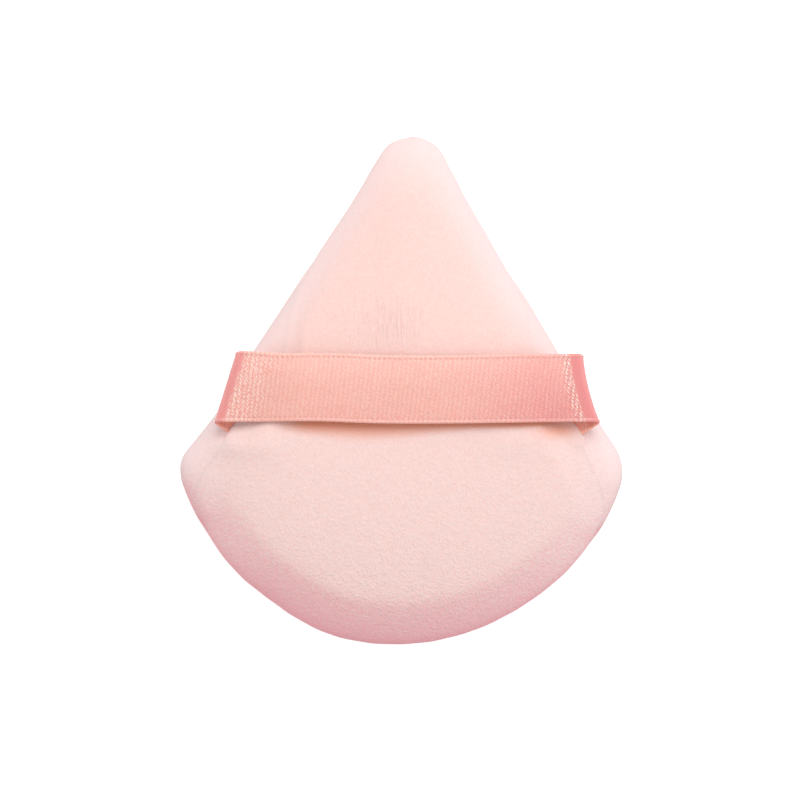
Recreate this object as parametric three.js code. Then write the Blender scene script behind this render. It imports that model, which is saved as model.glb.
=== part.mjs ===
import * as THREE from 'three';

// A triangular velour powder puff with a satin ribbon strap. Sizes are in millimetres and degrees.
// The pad lies on its powder face at Z = 0, with its tip toward +Y and the strap on top.
// The length and width of the cover are taken where it is fullest, before the seam draws it in.
const PAD_LENGTH = 76.3;
const PAD_WIDTH = 65.8;
const PAD_THICKNESS = 15;
const TIP_RADIUS = 5.3;
const CORNER_RADIUS = 7.6;
// The two side corners lie this far below the middle of the length.
const CORNER_DROP = 12;
// The whole puff leans sideways by this much for each millimetre toward the tip.
const SKEW = 0.037;
// Higher powers give a flatter face and a squarer rim.
const CROWN_POWER = 3;
const RIM_POWER = 2.2;
// The powder face is pressed flat by this much where the puff rests.
const REST_PRESS = 0.5;

const CLOTH = 1.2;
const SEAM_ALLOWANCE = 6;
const SEAM_GAP = 0.3;
// The row of needle stitches lies this far in from the rim.
const NEEDLE_LINE = 3;
// The stitched seam draws the rim in by this depth, over this angle of the rim.
const SEAM_DRAW = 0.7;
const SEAM_DRAW_ANGLE = 8;
// The cover is turned right side out through this opening in the seam, at the base.
const TURNING_GAP = 28;
const FIT = 0.3;
const SPONGE_FIT = 0.5;
const THREAD_FIT = 0.4;

const RIBBON_WIDTH = 10;
const RIBBON_THICKNESS = 0.35;
// Length of ribbon caught between the seam allowances at each end.
const RIBBON_TAIL = 4.5;
// The strap crosses the pad this far above the middle of the length.
const STRAP_PLACE = 0.3;
// The strap pulls the seam round the rim by this angle, easing off along the seam.
const STRAP_PULL = 40;
const STRAP_EASE = 2.5;
const STRAP_FADE = 16;
// The middle of the strap stands this much higher than its ends.
const STRAP_ARCH = 1.3;
const FOLD_RADIUS = 1.4;
// Length of ribbon between the seam mouth and the first bend, and from that bend to the fold.
const MOUTH = 0.5;
const SLACK_LEFT = 0.1;
const SLACK_RIGHT = 1.8;

const THREAD = 0.4;
const STITCH = 4.5;
const CLOSING_STITCH = 3;

// How finely the surfaces are divided.
const AROUND = 73;
const CORNER_SHARE = 4;
const OUTER_RINGS = 7;
const INNER_RINGS = 7;
const ACROSS_RIBBON = 4;
const ALONG_STRAP = 12;
const FOLD_STEPS = 6;
const BEND_STEPS = 3;
const THREAD_SIDES = 4;

const velour = new THREE.MeshStandardMaterial({ color: 0xf5d6cf, roughness: 1, metalness: 0 });
const satin = new THREE.MeshStandardMaterial({ color: 0xf3b3a6, roughness: 0.5, metalness: 0 });
const sponge = new THREE.MeshStandardMaterial({ color: 0xf6f1e6, roughness: 1, metalness: 0 });
const cotton = new THREE.MeshStandardMaterial({ color: 0xf2cfc6, roughness: 0.8, metalness: 0 });

const { PI, abs, cos, sin, tan, exp } = Math;
const radians = THREE.MathUtils.degToRad;
const lerp = THREE.MathUtils.lerp;
const up = new THREE.Vector3(0, 0, 1);

// The outline is four arcs, joined by two straight sides: tip, two corners and a curved base.
const middle = PAD_LENGTH / 2;
const tipY = middle - TIP_RADIUS;
const cornerX = PAD_WIDTH / 2 - CORNER_RADIUS;
const cornerY = -CORNER_DROP;
const cornerHeight = cornerY + middle;
const baseSquares = cornerX ** 2 + cornerHeight ** 2 - CORNER_RADIUS ** 2;
const baseRadius = baseSquares / (2 * (cornerHeight - CORNER_RADIUS));
const baseY = baseRadius - middle;
const radiusStep = (CORNER_RADIUS - TIP_RADIUS) / Math.hypot(cornerX, tipY - cornerY);
const sideAngle = Math.atan2(cornerX, tipY - cornerY) + Math.asin(radiusStep);
const baseAngle = Math.atan2(cornerY - baseY, cornerX);

const outlinePath = new THREE.Path();
outlinePath.absarc(cornerX, cornerY, CORNER_RADIUS, baseAngle, sideAngle);
outlinePath.absarc(0, tipY, TIP_RADIUS, sideAngle, PI - sideAngle);
outlinePath.absarc(-cornerX, cornerY, CORNER_RADIUS, PI - sideAngle, PI - baseAngle);
outlinePath.absarc(0, baseY, baseRadius, PI - baseAngle, 2 * PI + baseAngle);
const perimeter = outlinePath.getLength();

const cornerArc = CORNER_RADIUS * (sideAngle - baseAngle);
const tipArc = TIP_RADIUS * (PI - 2 * sideAngle);
const sideLength = (perimeter - 2 * cornerArc - tipArc - baseRadius * (PI + 2 * baseAngle)) / 2;
const tipPlace = cornerArc + sideLength + tipArc / 2;
const basePlace = tipPlace + perimeter / 2;

// The crown's highest point is as far from the base as from the two sides.
const centreY = (tipY * sin(sideAngle) + TIP_RADIUS - middle) / (1 + sin(sideAngle));
const sideReach = middle + centreY;
const sideOut = new THREE.Vector3(cos(sideAngle), sin(sideAngle), 0);
const sideAlong = new THREE.Vector3(-sin(sideAngle), cos(sideAngle), 0);

const planShare = (angle) => abs(cos(angle)) ** (2 / CROWN_POWER);
const riseShare = (angle) => Math.sign(angle) * abs(sin(angle)) ** (2 / RIM_POWER);

// Where each end of the strap is sewn in. The ribbon leaves the seam square to the slanted side
// and is folded back over a line at half that slant, so that it runs straight across the pad.
const halfSlant = sideAngle / 2;
const pull = radians(STRAP_PULL);
const exitTilt = Math.atan2(riseShare(pull), planShare(pull));
const exitWay = sideOut.clone().multiplyScalar(cos(exitTilt)).addScaledVector(up, sin(exitTilt));
const seamReach = planShare(pull) * (sideReach - SEAM_DRAW);
const seamZ = PAD_THICKNESS / 2 + riseShare(pull) * (PAD_THICKNESS / 2 - SEAM_DRAW);

function strapEnd(side, slack) {
  const bendRun = MOUTH * cos(exitTilt) + FOLD_RADIUS * sin(exitTilt);
  const run = bendRun + slack + (RIBBON_WIDTH / 2) * tan(halfSlant);
  const foldShift = PI * FOLD_RADIUS * sin(halfSlant);
  const y = STRAP_PLACE - run * sin(sideAngle) - foldShift;
  const x = (seamReach - (y - centreY) * sin(sideAngle)) / cos(sideAngle);
  const seam = new THREE.Vector3(x, y, seamZ);
  const outlineY = centreY + ((y - centreY) * sideReach) / seamReach;
  const sideStartY = cornerY + CORNER_RADIUS * sin(sideAngle);
  const rightPlace = cornerArc + (outlineY - sideStartY) / cos(sideAngle);
  const place = side > 0 ? rightPlace : 2 * tipPlace - rightPlace;
  return { side, seam, run, place };
}

const rightEnd = strapEnd(1, SLACK_RIGHT);
const leftEnd = strapEnd(-1, SLACK_LEFT);
const strapHalf = ((RIBBON_WIDTH / 2 + STRAP_EASE) * sideReach) / seamReach;

function plateau(distance, half, fade) {
  return 1 - THREE.MathUtils.smoothstep(distance, half, half + fade);
}

function distanceAlong(place, other) {
  const gap = abs(THREE.MathUtils.euclideanModulo(place - other, perimeter));
  return Math.min(gap, perimeter - gap);
}

function nearStrap(place) {
  const right = distanceAlong(place, rightEnd.place);
  const left = distanceAlong(place, leftEnd.place);
  return plateau(Math.min(right, left), strapHalf, STRAP_FADE);
}

const nearTurningGap = (place) => {
  return plateau(distanceAlong(place, basePlace), TURNING_GAP / 2, STRAP_FADE);
};

const seamAngle = (place) => pull * nearStrap(place);

// The seam opens by the ribbon's thickness at the strap and by the thread's at the turning gap.
function seamOpening(place) {
  const ribbonGap = (RIBBON_THICKNESS + 2 * FIT - SEAM_GAP) * nearStrap(place);
  const threadGap = (THREAD + 2 * FIT - SEAM_GAP) * nearTurningGap(place);
  return SEAM_GAP + Math.max(ribbonGap, threadGap);
}

// A point of the pad's rounded form: a place along the outline, an angle round the rim (zero at the
// mid-plane, a right angle at the crown) and a depth below the outer surface.
function padPoint(place, angle, depth) {
  const share = THREE.MathUtils.euclideanModulo(place / perimeter, 1);
  const edge = outlinePath.getPoint(share);
  const fromSeam = (angle - seamAngle(place)) / radians(SEAM_DRAW_ANGLE);
  const inset = depth + SEAM_DRAW * exp(-(fromSeam ** 2));
  const plan = planShare(angle) * (1 - inset / sideReach);
  const half = PAD_THICKNESS / 2 + (angle < 0 ? REST_PRESS : 0);
  const z = PAD_THICKNESS / 2 + riseShare(angle) * (half - inset);
  return new THREE.Vector3(plan * edge.x, lerp(centreY, edge.y, plan), Math.max(depth, z));
}

// The direction across the two seam allowances, from the lower one to the upper one.
function seamAcross(place) {
  const angle = seamAngle(place);
  const step = radians(1);
  const inward = padPoint(place, angle, SEAM_ALLOWANCE).sub(padPoint(place, angle, 0)).normalize();
  const rise = padPoint(place, angle + step, 0).sub(padPoint(place, angle - step, 0));
  return rise.addScaledVector(inward, -rise.dot(inward)).normalize();
}

// A point beside the seam, at a depth from the rim and an offset across the allowances.
function seamPoint(place, depth, offset) {
  return padPoint(place, seamAngle(place), depth).addScaledVector(seamAcross(place), offset);
}

// The rim angle at which the form stands a given offset above (or below) the seam.
function angleBeside(place, depth, offset) {
  const across = seamAcross(place);
  const start = padPoint(place, seamAngle(place), depth);
  let near = seamAngle(place);
  let far = Math.sign(offset) * PI / 2;
  for (let halving = 0; halving < 30; halving += 1) {
    const angle = (near + far) / 2;
    const reached = padPoint(place, angle, depth).sub(start).dot(across);
    if (abs(reached) < abs(offset)) near = angle;
    else far = angle;
  }
  return near;
}

// The rim angle at which the rounded underside meets the flat that the puff rests on.
function restAngle(depth) {
  const half = PAD_THICKNESS / 2;
  return -Math.asin(((half - depth) / (half + REST_PRESS - depth)) ** (RIM_POWER / 2));
}

// Points of the form from the seam toward the crown, or toward the flat underneath.
function formColumn(place, depth, offset, rings) {
  const start = angleBeside(place, depth, offset);
  const last = offset > 0 ? PI / 2 : restAngle(depth);
  const steps = offset > 0 ? rings : rings - 1;
  const pointAt = (_, ring) => padPoint(place, lerp(start, last, ring / steps), depth);
  return Array.from({ length: rings }, pointAt);
}

// Samples along the outline, closer together round the tip and the corners.
const arcs = [
  [cornerArc, sideAngle - baseAngle],
  [sideLength, 0],
  [tipArc, PI - 2 * sideAngle],
  [sideLength, 0],
  [cornerArc, sideAngle - baseAngle],
  [baseRadius * (PI + 2 * baseAngle), PI + 2 * baseAngle],
];
const arcShare = ([length, turn]) => length + CORNER_SHARE * turn;
const allShares = arcs.reduce((sum, arc) => sum + arcShare(arc), 0);

function placeOfSample(sample) {
  let left = (allShares * sample) / AROUND;
  let place = 0;
  for (const arc of arcs) {
    const part = Math.min(left / arcShare(arc), 1);
    place += part * arc[0];
    left -= part * arcShare(arc);
  }
  return place;
}

const places = Array.from({ length: AROUND }, (_, sample) => placeOfSample(sample));

// A closed body from rows of points. A row of one point is a pole, and other end rows are capped.
function solid(name, rows, material) {
  const corners = rows.flat();
  const starts = [];
  let count = 0;
  for (const row of rows) {
    starts.push(count);
    count += row.length;
  }
  const faces = [];
  for (let i = 0; i + 1 < rows.length; i += 1) {
    const here = rows[i].length;
    const next = rows[i + 1].length;
    for (let j = 0; j < Math.max(here, next); j += 1) {
      const a = starts[i] + (j % here);
      const b = starts[i] + ((j + 1) % here);
      const c = starts[i + 1] + ((j + 1) % next);
      const d = starts[i + 1] + (j % next);
      const short = corners[a].distanceTo(corners[c]) < corners[b].distanceTo(corners[d]);
      if (here > 1) faces.push(short || next === 1 ? [a, b, c] : [a, b, d]);
      if (next > 1) faces.push(short || here === 1 ? [a, c, d] : [b, c, d]);
    }
  }
  for (const end of [0, rows.length - 1]) {
    const size = rows[end].length;
    for (let j = 0; j + 1 < size / 2; j += 1) {
      const [a, b] = [starts[end] + j, starts[end] + j + 1];
      const [c, d] = [starts[end] + size - 2 - j, starts[end] + size - 1 - j];
      const cap = [[a, c, b], [a, d, c]];
      faces.push(...(end === 0 ? cap : cap.map(([e, f, g]) => [e, g, f])));
    }
  }
  const volume = faces.reduce((sum, [a, b, c]) => {
    return sum + corners[a].dot(corners[b].clone().cross(corners[c]));
  }, 0);
  const outward = volume > 0 ? faces : faces.map(([a, b, c]) => [a, c, b]);
  const leaning = corners.flatMap(({ x, y, z }) => [x + SKEW * (y - cornerY), y, z]);
  const geometry = new THREE.BufferGeometry();
  geometry.setAttribute('position', new THREE.Float32BufferAttribute(leaning, 3));
  geometry.setIndex(outward.flat());
  geometry.computeVertexNormals();
  const mesh = new THREE.Mesh(geometry, material);
  mesh.name = name;
  return mesh;
}

function rowsOf(columns) {
  return columns[0].map((_, row) => columns.map((column) => column[row]));
}

const pole = (z) => [new THREE.Vector3(0, centreY, z)];

// One panel of the cover: its outer face, the seam allowance turned in, and its inner face.
function coverColumn(place, side, outerRings) {
  const gap = side * seamOpening(place) / 2;
  const thick = gap + side * CLOTH;
  return [
    ...formColumn(place, 0, gap, outerRings).reverse(),
    seamPoint(place, SEAM_ALLOWANCE, gap),
    seamPoint(place, SEAM_ALLOWANCE, thick),
    ...formColumn(place, CLOTH, thick, INNER_RINGS),
  ];
}

function cover(name, side, outerRings, outerZ, innerZ) {
  const columns = places.map((place) => coverColumn(place, side, outerRings));
  return solid(name, [pole(outerZ), ...rowsOf(columns), pole(innerZ)], velour);
}

// The sponge fills the cover and has a groove all round for the seam allowances and their threads.
const loopDepth = NEEDLE_LINE + THREAD + THREAD_FIT;
const edgeDepth = SEAM_ALLOWANCE + THREAD_FIT + THREAD / 2;
const grooveDepth = edgeDepth + THREAD / 2 + SPONGE_FIT;
const spongeDepth = CLOTH + SPONGE_FIT;

function spongeColumn(place) {
  const offset = seamOpening(place) / 2 + CLOTH + THREAD_FIT + THREAD + SPONGE_FIT;
  return [
    ...formColumn(place, spongeDepth, offset, INNER_RINGS).reverse(),
    seamPoint(place, grooveDepth, offset),
    seamPoint(place, grooveDepth, -offset),
    ...formColumn(place, spongeDepth, -offset, INNER_RINGS),
  ];
}

function spongeCore() {
  const rows = rowsOf(places.map(spongeColumn));
  const top = pole(PAD_THICKNESS - spongeDepth);
  return solid('foam_core', [top, ...rows, pole(spongeDepth)], sponge);
}

// A thread is a thin tube through a list of points, which follows their bends without twisting.
function thread(name, points) {
  const side = new THREE.Vector3();
  const before = new THREE.Vector3();
  const bend = new THREE.Quaternion();
  const rows = points.map((point, i) => {
    const next = points[Math.min(i + 1, points.length - 1)];
    const ahead = next.clone().sub(point).normalize();
    const behind = point.clone().sub(points[Math.max(i - 1, 0)]).normalize();
    const along = ahead.add(behind).normalize();
    if (i === 0) side.crossVectors(along, up).normalize();
    else side.applyQuaternion(bend.setFromUnitVectors(before, along));
    before.copy(along);
    const other = along.clone().cross(side);
    return Array.from({ length: THREAD_SIDES }, (_, corner) => {
      const turn = (2 * PI * corner) / THREAD_SIDES;
      const spread = side.clone().multiplyScalar(cos(turn)).addScaledVector(other, sin(turn));
      return point.clone().addScaledVector(spread, THREAD / 2);
    });
  });
  return solid(name, rows, cotton);
}

// Stitches run round the seam from one end of the turning gap to the other.
const sewnLength = perimeter - TURNING_GAP - 2 * STITCH;
const stitches = Math.max(1, Math.round(sewnLength / STITCH));
const stitchPlace = (stitch) => {
  return basePlace + TURNING_GAP / 2 + STITCH + (sewnLength * stitch) / stitches;
};

function threadOffset(place, side) {
  return side * (seamOpening(place) / 2 + CLOTH + THREAD_FIT + THREAD / 2);
}

function needleThread() {
  const points = Array.from({ length: 2 * stitches + 1 }, (_, half) => {
    const place = stitchPlace(half / 2);
    return seamPoint(place, NEEDLE_LINE, threadOffset(place, 1));
  });
  return thread('needle_thread', points);
}

// A looper thread zigzags on one face of the allowances and turns over their raw edges, where the
// turns of the two loopers lie side by side.
function looperThread(name, side, phase) {
  const points = [];
  for (let stitch = 0; stitch < stitches; stitch += 1) {
    const at = (share) => stitchPlace(stitch + phase + share);
    points.push(seamPoint(at(0), loopDepth, threadOffset(at(0), side)));
    points.push(seamPoint(at(0.25), edgeDepth, threadOffset(at(0.25), side)));
    points.push(seamPoint(at(0.3), edgeDepth, 0));
    points.push(seamPoint(at(0.45), edgeDepth, 0));
    points.push(seamPoint(at(0.5), edgeDepth, threadOffset(at(0.5), side)));
  }
  return thread(name, points);
}

// The turning gap is closed by hand, with a thread that runs in and out between the panels.
function closingThread() {
  const steps = 2 * Math.max(1, Math.round(TURNING_GAP / CLOSING_STITCH));
  const points = Array.from({ length: steps + 1 }, (_, step) => {
    const place = basePlace + TURNING_GAP * (step / steps - 0.5);
    return seamPoint(place, step % 2 === 0 ? CLOTH : NEEDLE_LINE, 0);
  });
  return thread('closing_thread', points);
}

// A flat piece of ribbon from rows of points on its middle surface.
function ribbon(name, rows) {
  const loops = rows.map((row, i) => {
    const ahead = rows[Math.min(i + 1, rows.length - 1)];
    const behind = rows[Math.max(i - 1, 0)];
    const faces = row.map((point, j) => {
      const along = ahead[j].clone().sub(behind[j]);
      const across = row[Math.min(j + 1, row.length - 1)].clone().sub(row[Math.max(j - 1, 0)]);
      const shift = along.cross(across).setLength(RIBBON_THICKNESS / 2);
      return [point.clone().add(shift), point.clone().sub(shift)];
    });
    return [...faces.map(([upper]) => upper), ...faces.map(([, lower]) => lower).reverse()];
  });
  return solid(name, loops, satin);
}

const strands = Array.from({ length: ACROSS_RIBBON + 1 }, (_, strand) => {
  return RIBBON_WIDTH * (strand / ACROSS_RIBBON - 0.5);
});
const foldAlong = new THREE.Vector3(-sin(halfSlant), cos(halfSlant), 0);
const foldAcross = new THREE.Vector3(cos(halfSlant), sin(halfSlant), 0);
const bendRise = MOUTH * sin(exitTilt) + FOLD_RADIUS * (1 - cos(exitTilt));
const strapZ = seamZ + bendRise + 2 * FOLD_RADIUS;
const foldCut = FOLD_RADIUS / 2;

const mirrored = (point, side) => point.setX(side * point.x);

// A point on the ribbon near its fold: the distance gone past the fold line, and the strand.
function foldPoint(end, gone, strand) {
  const turn = Math.max(gone, 0) / FOLD_RADIUS;
  const across = gone < 0 ? gone : FOLD_RADIUS * sin(turn);
  const along = strand / cos(halfSlant) + (PI * FOLD_RADIUS - gone) * tan(halfSlant);
  const point = end.seam.clone().addScaledVector(sideOut, end.run).setZ(strapZ);
  point.addScaledVector(foldAlong, along).addScaledVector(foldAcross, across);
  point.addScaledVector(up, -FOLD_RADIUS * (1 - cos(turn)));
  return mirrored(point, end.side);
}

// A point on the ribbon where it comes out of the seam, from the mouth to level.
function bendPoint(end, tilt, strand) {
  const run = MOUTH * cos(exitTilt) + FOLD_RADIUS * (sin(exitTilt) - sin(tilt));
  const rise = MOUTH * sin(exitTilt) + FOLD_RADIUS * (cos(tilt) - cos(exitTilt));
  const point = end.seam.clone().addScaledVector(sideAlong, strand);
  point.addScaledVector(sideOut, run).addScaledVector(up, rise);
  return mirrored(point, end.side);
}

// A point on the ribbon's straight part at the seam: outside the mouth or, below zero, in the seam.
function seamRibbonPoint(end, outside, strand) {
  const point = end.seam.clone().addScaledVector(sideAlong, strand);
  return mirrored(point.addScaledVector(exitWay, outside), end.side);
}

function strapLoop(name, end) {
  const rows = [strands.map((strand) => foldPoint(end, -foldCut, strand))];
  for (let step = 0; step <= FOLD_STEPS; step += 1) {
    const gone = (PI * FOLD_RADIUS * step) / FOLD_STEPS;
    rows.push(strands.map((strand) => foldPoint(end, gone, strand)));
  }
  for (let step = 0; step <= BEND_STEPS; step += 1) {
    const tilt = (exitTilt * step) / BEND_STEPS;
    rows.push(strands.map((strand) => bendPoint(end, tilt, strand)));
  }
  rows.push(strands.map((strand) => seamRibbonPoint(end, FIT / 2, strand)));
  return ribbon(name, rows);
}

function strapTail(name, end) {
  const rows = [-FIT / 2, -RIBBON_TAIL / 2, -RIBBON_TAIL].map((outside) => {
    return strands.map((strand) => seamRibbonPoint(end, outside, strand));
  });
  return ribbon(name, rows);
}

function strapSpan() {
  const rows = Array.from({ length: ALONG_STRAP + 1 }, (_, step) => {
    const share = step / ALONG_STRAP;
    const arch = STRAP_ARCH * (1 - (2 * share - 1) ** 2) ** 2;
    return strands.map((strand) => {
      const from = foldPoint(leftEnd, -foldCut - FIT, strand);
      const to = foldPoint(rightEnd, -foldCut - FIT, strand);
      return from.lerp(to, share).addScaledVector(up, arch);
    });
  });
  return ribbon('strap_span', rows);
}

const puff = new THREE.Group();
puff.name = 'powder_puff';
puff.add(
  cover('top_cover', 1, OUTER_RINGS, PAD_THICKNESS, PAD_THICKNESS - CLOTH),
  cover('bottom_cover', -1, OUTER_RINGS + 1, 0, CLOTH),
  spongeCore(),
  strapSpan(),
  strapLoop('strap_loop_left', leftEnd),
  strapLoop('strap_loop_right', rightEnd),
  strapTail('strap_tail_left', leftEnd),
  strapTail('strap_tail_right', rightEnd),
  needleThread(),
  looperThread('upper_looper_thread', 1, 0),
  looperThread('lower_looper_thread', -1, 0.5),
  closingThread(),
);

// The origin is under the middle of the puff, on the surface that it rests on.
const bounds = new THREE.Box3().setFromObject(puff);
const bottom = bounds.getCenter(new THREE.Vector3()).setZ(bounds.min.z);
for (const piece of puff.children) piece.geometry.translate(-bottom.x, -bottom.y, -bottom.z);

export default puff;
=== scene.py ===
import bpy
import numpy as np
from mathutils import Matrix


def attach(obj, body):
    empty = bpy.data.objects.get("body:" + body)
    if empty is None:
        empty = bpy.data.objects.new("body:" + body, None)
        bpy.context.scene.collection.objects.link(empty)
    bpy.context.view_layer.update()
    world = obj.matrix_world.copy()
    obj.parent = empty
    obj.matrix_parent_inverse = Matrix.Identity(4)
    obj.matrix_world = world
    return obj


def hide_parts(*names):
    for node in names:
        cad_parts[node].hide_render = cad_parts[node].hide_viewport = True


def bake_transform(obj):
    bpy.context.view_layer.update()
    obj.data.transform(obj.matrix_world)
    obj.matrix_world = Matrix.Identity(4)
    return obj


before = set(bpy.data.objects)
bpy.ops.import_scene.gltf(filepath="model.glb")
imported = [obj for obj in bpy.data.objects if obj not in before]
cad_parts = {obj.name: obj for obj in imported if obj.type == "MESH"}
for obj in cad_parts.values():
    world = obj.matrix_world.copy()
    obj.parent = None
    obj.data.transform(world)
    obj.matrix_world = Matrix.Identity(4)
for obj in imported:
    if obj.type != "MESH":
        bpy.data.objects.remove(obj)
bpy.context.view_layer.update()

# A triangular velour powder puff with a satin ribbon strap. Shapes are worked out in millimetres and
# degrees, in the part's own frame: powder face down at Z = 0, tip toward +Y, strap on top.
METRE = 1000.0

# The pad's form, as the solids have it.
PAD_LENGTH = 76.3
PAD_WIDTH = 65.8
PAD_THICKNESS = 15.0
TIP_RADIUS = 5.3
CORNER_RADIUS = 7.6
CORNER_DROP = 12.0
SKEW = 0.037
CROWN_POWER = 3.0
RIM_POWER = 2.2
REST_PRESS = 0.5
CLOTH = 1.2
SPONGE_FIT = 0.5
SEAM_DRAW = 0.7
SEAM_DRAW_ANGLE = np.radians(8)

# The strap, as the solids have it.
RIBBON_WIDTH = 10.0
RIBBON_THICKNESS = 0.35
STRAP_PLACE = 0.3
STRAP_PULL = np.radians(40)
STRAP_EASE = 2.5
STRAP_FADE = 16.0
STRAP_ARCH = 1.3
FOLD_RADIUS = 1.4
MOUTH = 0.5
SLACK_LEFT = 0.1
SLACK_RIGHT = 1.8
RIBBON_TAIL = 4.5

# The outline is four arcs and two straight sides, run through counter-clockwise from the right corner.
middle = PAD_LENGTH / 2
tip_y = middle - TIP_RADIUS
corner_x = PAD_WIDTH / 2 - CORNER_RADIUS
corner_y = -CORNER_DROP
corner_height = corner_y + middle
base_squares = corner_x**2 + corner_height**2 - CORNER_RADIUS**2
base_radius = base_squares / (2 * (corner_height - CORNER_RADIUS))
base_y = base_radius - middle
side_rise = np.hypot(corner_x, tip_y - corner_y)
side_angle = np.arctan2(corner_x, tip_y - corner_y) + np.arcsin((CORNER_RADIUS - TIP_RADIUS) / side_rise)
base_angle = np.arctan2(corner_y - base_y, corner_x)
side_length = np.sqrt(side_rise**2 - (CORNER_RADIUS - TIP_RADIUS) ** 2)
corner_turn = side_angle - base_angle
base_turn = np.pi + 2 * base_angle

OUTLINE_TURNS = np.array([corner_turn, 0, np.pi - 2 * side_angle, 0, corner_turn, base_turn])
OUTLINE_CURVES = np.array([1 / CORNER_RADIUS, 0, 1 / TIP_RADIUS, 0, 1 / CORNER_RADIUS, 1 / base_radius])
OUTLINE_LENGTHS = np.array([
    corner_turn * CORNER_RADIUS,
    side_length,
    (np.pi - 2 * side_angle) * TIP_RADIUS,
    side_length,
    corner_turn * CORNER_RADIUS,
    base_turn * base_radius,
])
OUTLINE_ENDS = np.cumsum(OUTLINE_LENGTHS)
OUTLINE_STARTS = OUTLINE_ENDS - OUTLINE_LENGTHS
OUTLINE_FACINGS = base_angle + np.cumsum(OUTLINE_TURNS) - OUTLINE_TURNS
perimeter = OUTLINE_ENDS[-1]
tip_place = (OUTLINE_STARTS[2] + OUTLINE_ENDS[2]) / 2
base_place = tip_place + perimeter / 2


def arc_step(gone, curve, facing):
    """The step along an arc that starts where its outward side faces a given angle: the chord's length
    is the length gone times the sine of half the turn over half the turn, and the chord points half the
    turn past the start's own heading. A straight stretch is an arc with no curve."""
    turn = gone * curve
    chord = gone * np.sinc(turn / (2 * np.pi))
    heading = facing + np.pi / 2 + turn / 2
    return np.stack([chord * np.cos(heading), chord * np.sin(heading)], axis=-1)


first_corner = np.array([corner_x, corner_y])
first_corner += CORNER_RADIUS * np.array([np.cos(base_angle), np.sin(base_angle)])
stretch_steps = arc_step(OUTLINE_LENGTHS, OUTLINE_CURVES, OUTLINE_FACINGS)
OUTLINE_CORNERS = first_corner + np.cumsum(stretch_steps, axis=0) - stretch_steps


def outline(place):
    """The outline at a distance along it: the start of the stretch that holds it, and one arc step."""
    run = np.mod(place, perimeter)
    stretch = np.searchsorted(OUTLINE_ENDS[:-1], run, side="right")
    gone = run - OUTLINE_STARTS[stretch]
    return OUTLINE_CORNERS[stretch] + arc_step(gone, OUTLINE_CURVES[stretch], OUTLINE_FACINGS[stretch])


# The crown's highest point is as far from the base as from the two sides.
centre_y = (tip_y * np.sin(side_angle) + TIP_RADIUS - middle) / (1 + np.sin(side_angle))
side_reach = middle + centre_y
half_slant = side_angle / 2


def plan_share(angle):
    """How far out the form reaches at a rim angle: a power of the cosine."""
    return np.abs(np.cos(angle)) ** (2 / CROWN_POWER)


def rise_share(angle):
    """How far up the form reaches at a rim angle: a power of the sine, with its sign."""
    return np.sign(angle) * np.abs(np.sin(angle)) ** (2 / RIM_POWER)


exit_tilt = np.arctan2(rise_share(STRAP_PULL), plan_share(STRAP_PULL))
seam_reach = plan_share(STRAP_PULL) * (side_reach - SEAM_DRAW)
seam_z = PAD_THICKNESS / 2 + rise_share(STRAP_PULL) * (PAD_THICKNESS / 2 - SEAM_DRAW)
bend_run = MOUTH * np.cos(exit_tilt) + FOLD_RADIUS * np.sin(exit_tilt)
bend_rise = MOUTH * np.sin(exit_tilt) + FOLD_RADIUS * (1 - np.cos(exit_tilt))
strap_z = seam_z + bend_rise + 2 * FOLD_RADIUS
side_out = np.array([np.cos(side_angle), np.sin(side_angle), 0])


def strap_end(slack):
    """Where the ribbon is sewn in on the right side, for a given slack: the point in the seam and its place
    along the outline. The left end is the mirror image of such an end."""
    run = bend_run + slack + RIBBON_WIDTH / 2 * np.tan(half_slant)
    y = STRAP_PLACE - run * np.sin(side_angle) - np.pi * FOLD_RADIUS * np.sin(half_slant)
    x = (seam_reach - (y - centre_y) * np.sin(side_angle)) / np.cos(side_angle)
    outline_y = centre_y + (y - centre_y) * side_reach / seam_reach
    side_start_y = corner_y + CORNER_RADIUS * np.sin(side_angle)
    place = OUTLINE_STARTS[1] + (outline_y - side_start_y) / np.cos(side_angle)
    return np.array([x, y, seam_z]), place


right_seam, right_place = strap_end(SLACK_RIGHT)
left_seam, left_mirror_place = strap_end(SLACK_LEFT)
left_place = 2 * tip_place - left_mirror_place
strap_half = (RIBBON_WIDTH / 2 + STRAP_EASE) * side_reach / seam_reach


def smoothstep(value, low, high):
    """Nought below low, one above high, and three squares less two cubes between them."""
    share = np.clip((value - low) / (high - low), 0, 1)
    return share * share * (3 - 2 * share)


def band(value, rise, fall):
    """Rises from nought to one between two limits, and falls back between two more."""
    return smoothstep(value, *rise) * (1 - smoothstep(value, *fall))


def bell(gap):
    """One at nought, falling off to both sides as the exponential of minus the square."""
    return np.exp(-(gap**2))


def bell_over(points, x, y, reach_x, reach_y):
    """A bell over a place in plan with its reach along X and along Y, for points in metres."""
    return bell((points[..., 0] * METRE - x) / reach_x) * bell((points[..., 1] * METRE - y) / reach_y)


def near_place(place, other, half, fade):
    """One within half of a place on the outline, easing to nought over the fade beyond."""
    gap = np.mod(place - other, perimeter)
    return 1 - smoothstep(np.minimum(gap, perimeter - gap), half, half + fade)


def seam_angle(place):
    """The seam runs round the middle of the rim, and is pulled up the shoulder at the two strap ends."""
    right = near_place(place, right_place, strap_half, STRAP_FADE)
    left = near_place(place, left_place, strap_half, STRAP_FADE)
    return STRAP_PULL * np.maximum(right, left)


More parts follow.
